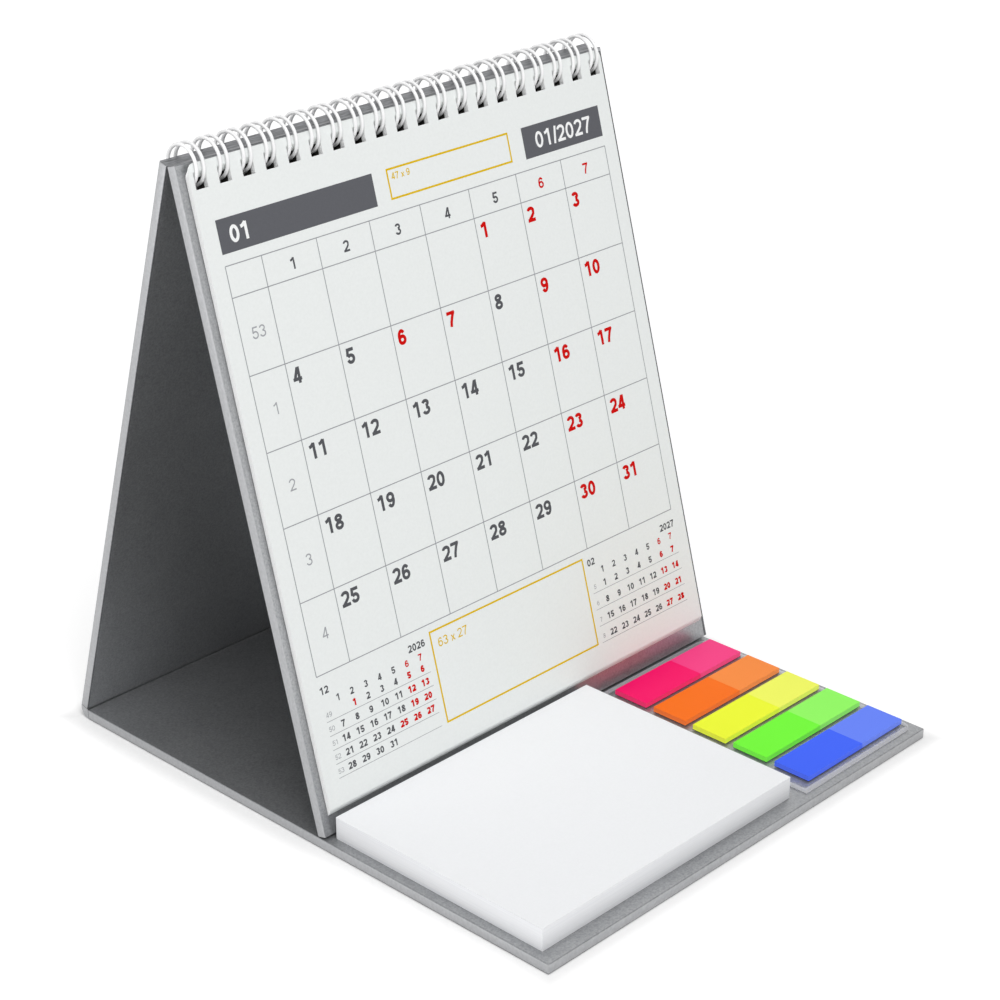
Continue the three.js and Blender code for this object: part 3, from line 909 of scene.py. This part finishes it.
def makePage(number):
    name = f"sheet_{number:02d}"
    out = frontOut - (number - 1) * sheets["pitch"]
    lower = hangingDrop(out) - hangingDrop(frontOut)
    lift = sheets["frontPrintLift"] if number == 1 else sheets["printLift"]
    shift = Vector((0, -page["top"] - lower, out + sheets["thickness"] + lift))
    sheetPrint = drawPage(number)
    mesh = bpy.data.meshes.new(name + "_print")
    mesh.from_pydata([corner + shift for corner in sheetPrint.corners], [], sheetPrint.faces)
    mesh.transform(frontPlane)
    piece = bpy.data.objects.new(name + "_print", mesh)
    scene.collection.objects.link(piece)
    coat(piece, *inks.values())
    mesh.polygons.foreach_set("material_index", sheetPrint.inks)
    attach(piece, name)
    coat(nodes[name], sheetPaper)


for number in range(1, sheets["count"] + 1):
    makePage(number)
print("sheets printed")


# Note pad: a cut block of notes, with its uppermost note apart
pad = {"x": 2.9, "y": 4.8, "width": 100, "depth": 75, "height": 6.65, "edgeRound": 0.12}


def makePad():
    block = addBlock("note_pad", (pad["x"], pad["y"], stand["board"]), (
        pad["width"], pad["depth"], pad["height"]))
    applyModifier(block, "BEVEL", width=pad["edgeRound"], segments=2, limit_method="ANGLE")
    coat(block, notePaper)
    finishPiece(block, basePlane, "base", "note_pad", degrees=25)
    coat(nodes["top_note"], notePaper)


makePad()
print("note pad made")


# Page flags: cut stacks of film on a clear carrier, which is square at its tab end and rounded at the other
def makeCarrier():
    film = addBlock("flag_carrier_film", (carrier["x"], carrier["y"], stand["board"]), (
        carrier["width"], carrier["depth"], carrier["thickness"]))
    bpy.ops.object.mode_set(mode="EDIT")
    bpy.ops.mesh.select_mode(type="EDGE")
    bpy.ops.mesh.select_all(action="DESELECT")
    bpy.ops.object.mode_set(mode="OBJECT")
    middle = carrier["x"] + carrier["width"] / 2
    for edge in film.data.edges:
        low, high = (film.data.vertices[index].co for index in edge.vertices)
        edge.select = abs(low.z - high.z) > carrier["thickness"] / 2 and low.x > middle
    bpy.ops.object.mode_set(mode="EDIT")
    bpy.ops.mesh.bevel(offset=carrier["cornerRound"], segments=8, affect="EDGES")
    bpy.ops.object.mode_set(mode="OBJECT")
    applyModifier(film, "BEVEL", width=carrier["edgeRound"], segments=2, limit_method="ANGLE",
                  angle_limit=math.radians(60))
    coat(film, clearFilm)
    finishPiece(film, basePlane, "base", "flag_carrier", degrees=25)


makeCarrier()
for number, film in enumerate(flagFilms, 1):
    coat(nodes[f"flag_stack_{number}"], film)
    coat(nodes[f"flag_leaf_{number}"], film)
print("flags made")


# Floor, light and camera, in metres, with the camera in millimetres and degrees. Each lift of the floor
# has two distances from the stand and the share of white at each. Each lamp has its place, size and power.
studio = {
    "floor": "#F4F4F4", "floorRoughness": 0.9, "floorSize": 6, "floorZ": -0.0002,
    "floorLift": ((0, 0.009, 0.2, 1), (0.1, 1.1, 0.36, 0.85)), "world": 0.36,
    "lamps": {"keyLamp": ((-0.75, -1.0, 1.8), 1.1, 31), "sideLamp": ((-1.8, 0.45, 0.3), 0.6, 5)},
    "lampAim": (0, 0, 0.08),
    "camera": (-458.2, -437.4, 366.5), "azimuth": 46.35, "elevation": 24.88, "lens": 90,
    "sensor": 36, "nearest": 0.01,
}


# The camera and mirrors see the floor lifted towards white, less so close to the stand: its shadow stays,
# and the weaker lift there adds painted shade round the stand.
def makeFloor():
    deselectAll()
    bpy.ops.mesh.primitive_plane_add(size=studio["floorSize"], location=(0, 0, studio["floorZ"]))
    floor = bpy.context.object
    floor.name = "studioFloor"
    material, tree, shader = newMaterial("paleFloor", {
        "Base Color": linear(studio["floor"]), "Roughness": studio["floorRoughness"],
        "Specular IOR Level": 0.0})
    path = addNode(tree, "ShaderNodeLightPath")
    lift = addNode(tree, "ShaderNodeMath", {"operation": "MAXIMUM"}, {
        0: path.outputs["Is Camera Ray"], 1: path.outputs["Is Glossy Ray"]})
    reach = boxReach(tree, (0, 0), (stand["width"] / 2, centreY))
    for near, far, low, high in studio["floorLift"]:
        level = addNode(tree, "ShaderNodeMapRange", {"interpolation_type": "SMOOTHSTEP"}, {
            "Value": reach, "From Min": near, "From Max": far, "To Min": low, "To Max": high})
        lift = addNode(tree, "ShaderNodeMath", {"operation": "MULTIPLY"}, {
            0: lift.outputs[0], 1: level.outputs[0]})
    glow = addNode(tree, "ShaderNodeEmission", inputs={"Color": (1, 1, 1, 1), "Strength": lift.outputs[0]})
    added = addNode(tree, "ShaderNodeAddShader", inputs={0: shader.outputs[0], 1: glow.outputs[0]})
    setInputs(tree, tree.nodes["Material Output"], {"Surface": added.outputs[0]})
    coat(floor, material)


# The world is white to the camera, through the film and in mirrors, and dimmer as a light.
def makeWorld():
    world = bpy.data.worlds.new("softStudio")
    scene.world = world
    world.use_nodes = True
    tree = world.node_tree
    path = addNode(tree, "ShaderNodeLightPath")
    seen = addNode(tree, "ShaderNodeMath", {"operation": "MAXIMUM"}, {
        0: path.outputs["Is Camera Ray"], 1: path.outputs["Is Transmission Ray"]})
    direct = addNode(tree, "ShaderNodeMath", {"operation": "LESS_THAN"}, {
        0: path.outputs["Diffuse Depth"], 1: 0.5})
    mirrored = addNode(tree, "ShaderNodeMath", {"operation": "MULTIPLY"}, {
        0: path.outputs["Is Glossy Ray"], 1: direct.outputs[0]})
    white = addNode(tree, "ShaderNodeMath", {"operation": "MAXIMUM"}, {
        0: seen.outputs[0], 1: mirrored.outputs[0]})
    strength = addNode(tree, "ShaderNodeMapRange", inputs={
        "Value": white.outputs[0], "To Min": studio["world"], "To Max": 1.0})
    setInputs(tree, tree.nodes["Background"], {"Color": (1, 1, 1, 1), "Strength": strength.outputs[0]})


def addLamp(name, place, size, power):
    deselectAll()
    ahead = Vector(studio["lampAim"]) - Vector(place)
    bpy.ops.object.light_add(type="AREA", location=place, rotation=ahead.to_track_quat("-Z", "Y").to_euler())
    lamp = bpy.context.object
    lamp.name = name
    lamp.data.size = size
    lamp.data.energy = power


def addCamera():
    azimuth, elevation = math.radians(studio["azimuth"]), math.radians(studio["elevation"])
    ahead = Vector((
        math.sin(azimuth) * math.cos(elevation),
        math.cos(azimuth) * math.cos(elevation),
        -math.sin(elevation),
    ))
    bpy.ops.object.camera_add(
        location=Vector(studio["camera"]) / 1000, rotation=ahead.to_track_quat("-Z", "Y").to_euler())
    camera = bpy.context.object
    camera.data.lens = studio["lens"]
    camera.data.sensor_width = studio["sensor"]
    camera.data.clip_start = studio["nearest"]
    scene.camera = camera


makeFloor()
makeWorld()
for name, lamp in studio["lamps"].items():
    addLamp(name, *lamp)
addCamera()
scene.view_settings.view_transform = "Standard"
print("studio made")
